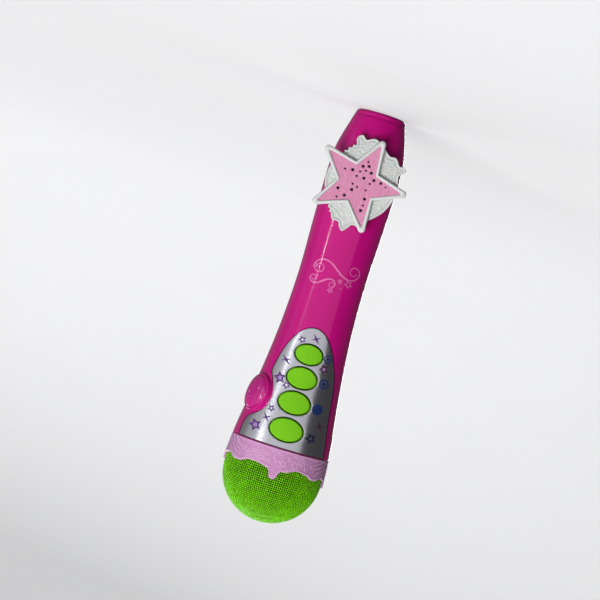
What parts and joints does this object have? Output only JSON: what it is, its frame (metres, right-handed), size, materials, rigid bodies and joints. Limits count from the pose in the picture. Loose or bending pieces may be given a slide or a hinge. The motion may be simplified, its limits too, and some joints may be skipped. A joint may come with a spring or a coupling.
{
  "type": "toy microphone",
  "caption": "Handheld toy microphone with a flared handle, press-button control panel, star-shaped speaker grille, wavy collar and mesh ball head.",
  "frame": {"origin": "centre of the flat face of the butt end, on which the microphone can stand", "axes": "+Z along the handle from the butt to the mesh head, -Y out of the control panel and the star, +X towards the round power button"},
  "size_m": [0.0507, 0.0508, 0.2065],
  "materials": {
    "magenta": "glossy moulded ABS",
    "power_magenta": "glossy translucent ABS with fine glitter",
    "lime": "glossy moulded ABS",
    "mesh_green": "painted woven steel mesh",
    "lilac": "satin moulded ABS with an embossed relief",
    "silver": "silver sprayed ABS with small printed shapes",
    "white": "satin moulded ABS",
    "pink": "matte moulded ABS",
    "silicone": "matte silicone",
    "board_green": "solder mask on glass fibre board",
    "black_plastic": "matte",
    "can_blue": "shrink sleeve",
    "steel": "zinc plated",
    "ferrite": "ground ferrite",
    "paper": "matte pressed paper",
    "inner_white": "matte moulded ABS",
    "cell_wrap": "plain blue foil sleeve",
    "foam": "open-cell foam",
    "rubber": "matte",
    "aluminium": "satin",
    "red_wire": "PVC insulation",
    "black_wire": "PVC insulation",
    "grey_wire": "PVC insulation"
  },
  "bodies": {
    "handle": {"front_shell": "magenta", "rear_shell": "magenta", "end_cap": "magenta", "power_bezel": "magenta", "control_panel": "silver", "mesh_grille": "mesh_green", "grille_foam": "foam", "collar": "lilac", "lace_plate": "white", "star_frame": "white", "star_grille": "pink", "keypad": "silicone", "main_pcb": "board_green", "switch_board": "board_green", "sound_chip": "black_plastic", "amplifier_chip": "black_plastic", "power_switch": "black_plastic", "capacitor": "can_blue", "pcb_screw_1": "steel", "pcb_screw_2": "steel", "shell_screw_1": "steel", "shell_screw_2": "steel", "shell_screw_3": "steel", "shell_screw_4": "steel", "shell_screw_5": "steel", "shell_screw_6": "steel", "speaker_frame": "steel", "speaker_magnet": "ferrite", "speaker_cone": "paper", "battery_tray": "inner_white", "head_plate": "inner_white", "cell_1": "cell_wrap", "cell_2": "cell_wrap", "contact_spring_1": "steel", "contact_spring_2": "steel", "contact_minus": "steel", "contact_plus": "steel", "contact_bridge": "steel", "mic_boot": "rubber", "mic_capsule": "aluminium", "battery_lead_red": "red_wire", "battery_lead_black": "black_wire", "speaker_lead": "grey_wire", "mic_lead": "grey_wire", "switch_lead": "grey_wire"},
    "effect_button_1": {"effect_button_1": "lime"},
    "effect_button_2": {"effect_button_2": "lime"},
    "effect_button_3": {"effect_button_3": "lime"},
    "effect_button_4": {"effect_button_4": "lime"},
    "power_button": {"power_button": "power_magenta", "switch_plunger": "black_plastic"},
    "battery_door": {"battery_door": "magenta", "door_screw": "steel"}
  },
  "joints": [
    {"name": "effect_button_1_press", "type": "slide", "parent": "handle", "child": "effect_button_1", "axis": [0, 0.993, 0.1184], "range_m": [0, 0.001], "stiffness_N_per_m": 400, "deforming": ["keypad"]},
    {"name": "effect_button_2_press", "type": "slide", "parent": "handle", "child": "effect_button_2", "axis": [0, 0.993, 0.1184], "range_m": [0, 0.001], "stiffness_N_per_m": 400, "deforming": ["keypad"]},
    {"name": "effect_button_3_press", "type": "slide", "parent": "handle", "child": "effect_button_3", "axis": [0, 0.993, 0.1184], "range_m": [0, 0.001], "stiffness_N_per_m": 400, "deforming": ["keypad"]},
    {"name": "effect_button_4_press", "type": "slide", "parent": "handle", "child": "effect_button_4", "axis": [0, 0.993, 0.1184], "range_m": [0, 0.001], "stiffness_N_per_m": 400, "deforming": ["keypad"]},
    {"name": "power_button_press", "type": "slide", "parent": "handle", "child": "power_button", "axis": [-0.8408, 0.5254, 0.1305], "range_m": [0, 0.001], "stiffness_N_per_m": 400},
    {"name": "battery_door_lift", "type": "slide", "parent": "handle", "child": "battery_door", "axis": [0, 1, 0], "range_m": [0, 0.03]}
  ]
}
